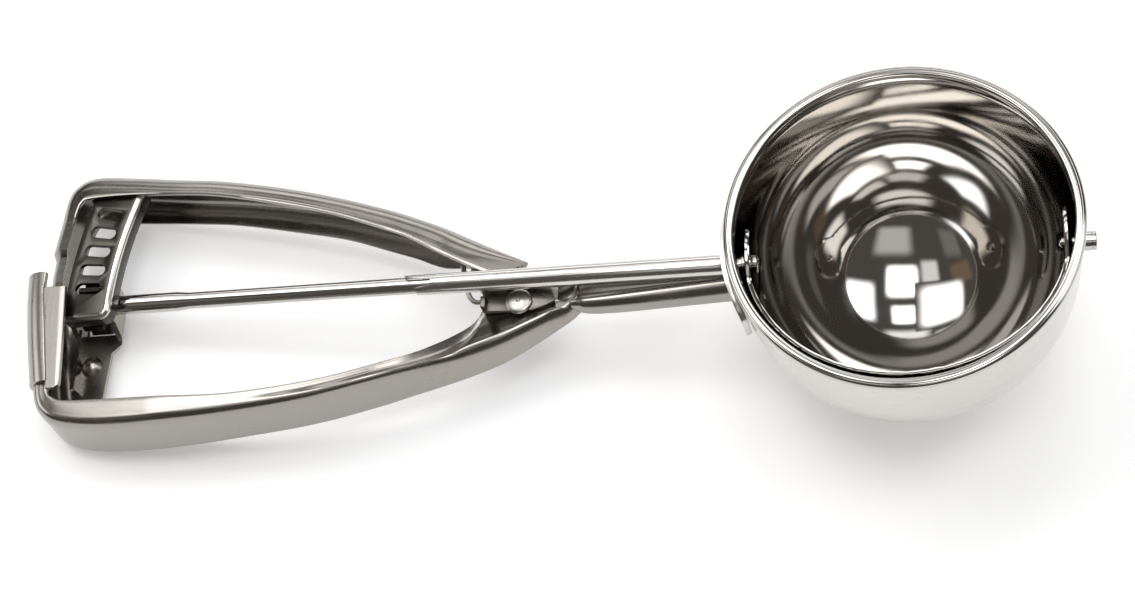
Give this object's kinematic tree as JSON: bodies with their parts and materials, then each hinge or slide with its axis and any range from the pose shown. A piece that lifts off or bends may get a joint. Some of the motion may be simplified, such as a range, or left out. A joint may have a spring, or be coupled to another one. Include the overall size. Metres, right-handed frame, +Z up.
{
  "type": "ice cream scoop",
  "caption": "Squeeze-handle ice cream scoop: a round bowl with a swinging sweeper blade, driven by a rack and pinion from a sprung handle.",
  "frame": {"origin": "middle of the bounding box, on the table plane that the tool lies on", "axes": "+X from the handles towards the bowl, +Z up out of the bowl's mouth, +Y towards the moving handle"},
  "size_m": [0.2244, 0.07, 0.0529],
  "materials": {
    "satin_steel": "satin brushed stainless steel",
    "polished_steel": "mirror-polished stainless steel",
    "dark_steel": "dull stamped stainless steel",
    "spring_wire": "bright drawn spring wire"
  },
  "bodies": {
    "base": {"fixed_handle": "satin_steel", "end_guard": "satin_steel", "shank": "satin_steel", "saddle_plate": "satin_steel", "bowl": "polished_steel", "tip_pin": "polished_steel", "guide_tube": "polished_steel", "rod_bracket": "dark_steel", "bracket_rivet": "polished_steel", "pivot_rivet": "polished_steel", "pivot_washer": "dark_steel", "rivet_collar": "dark_steel", "return_spring": "spring_wire"},
    "moving": {"moving_handle": "satin_steel", "pivot_plate": "dark_steel", "rack_plate": "dark_steel"},
    "rotor": {"drive_rod": "polished_steel", "pinion": "dark_steel", "pinion_spacer": "dark_steel", "rod_end_clip": "dark_steel", "sweeper_blade": "polished_steel", "blade_cap": "polished_steel"}
  },
  "joints": [
    {"name": "squeeze", "type": "hinge", "parent": "base", "child": "moving", "pos_m": [-0.00369, -0.0035, 0.01837], "axis": [-0.1398, 0, 0.9902], "range_deg": [0, 10.4], "stiffness_Nm_per_rad": 2, "springref_deg": -5.73, "deforming": ["return_spring"]},
    {"name": "sweep", "type": "hinge", "parent": "base", "child": "rotor", "pos_m": [0.0755, 0, 0.034], "axis": [0.9902, 0, 0.1398], "range_deg": [0, 170]}
  ],
  "couplings": [
    {"joint": "sweep", "follows": "squeeze", "ratio": 16.318}
  ]
}
